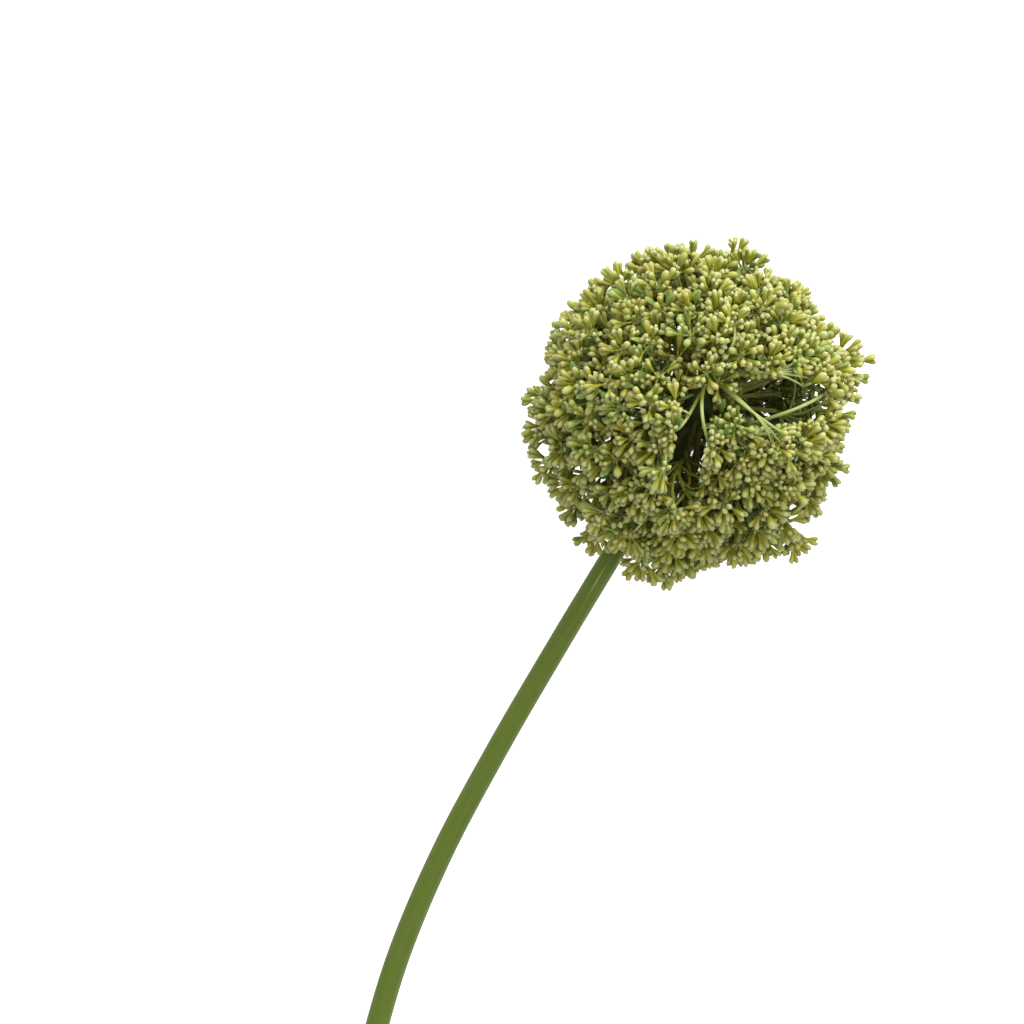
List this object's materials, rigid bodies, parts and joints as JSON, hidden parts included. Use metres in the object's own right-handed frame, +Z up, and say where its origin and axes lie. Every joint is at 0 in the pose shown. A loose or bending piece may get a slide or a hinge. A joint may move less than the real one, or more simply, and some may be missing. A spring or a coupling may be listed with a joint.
{
  "type": "giant allium flower head",
  "caption": "Round flower head of a giant allium, a ball of green umbels of club-shaped florets on a long curved stem, cut and laid down",
  "frame": {"origin": "On the table plane, under the middle of the flower's bounding box", "axes": "+Z is up, away from the table that the flower lies on; the stem runs from its cut end at -Y to the head at +Y; +X is to the head's side"},
  "size_m": [0.124, 0.3587, 0.1209],
  "materials": {
    "stem": "smooth, faintly waxy plant skin",
    "spray": "soft matte flower tissue"
  },
  "bodies": {
    "root": {"stem": "stem", "spray_01": "spray", "spray_02": "spray", "spray_03": "spray", "spray_04": "spray", "spray_05": "spray", "spray_06": "spray", "spray_07": "spray", "spray_08": "spray", "spray_09": "spray", "spray_10": "spray", "spray_11": "spray", "spray_12": "spray", "spray_13": "spray", "spray_14": "spray", "spray_15": "spray", "spray_16": "spray", "spray_17": "spray", "spray_18": "spray", "spray_19": "spray", "spray_20": "spray", "spray_21": "spray", "spray_22": "spray", "spray_23": "spray", "spray_24": "spray", "spray_25": "spray", "spray_26": "spray", "spray_27": "spray", "spray_28": "spray", "spray_29": "spray", "spray_30": "spray", "spray_31": "spray", "spray_32": "spray", "spray_33": "spray", "spray_34": "spray", "spray_35": "spray", "spray_36": "spray", "spray_37": "spray", "spray_38": "spray", "spray_39": "spray", "spray_40": "spray", "spray_41": "spray", "spray_42": "spray", "spray_43": "spray", "spray_44": "spray", "spray_45": "spray", "spray_46": "spray", "spray_47": "spray", "spray_48": "spray", "spray_49": "spray", "spray_50": "spray", "spray_51": "spray", "spray_52": "spray"}
  },
  "joints": []
}
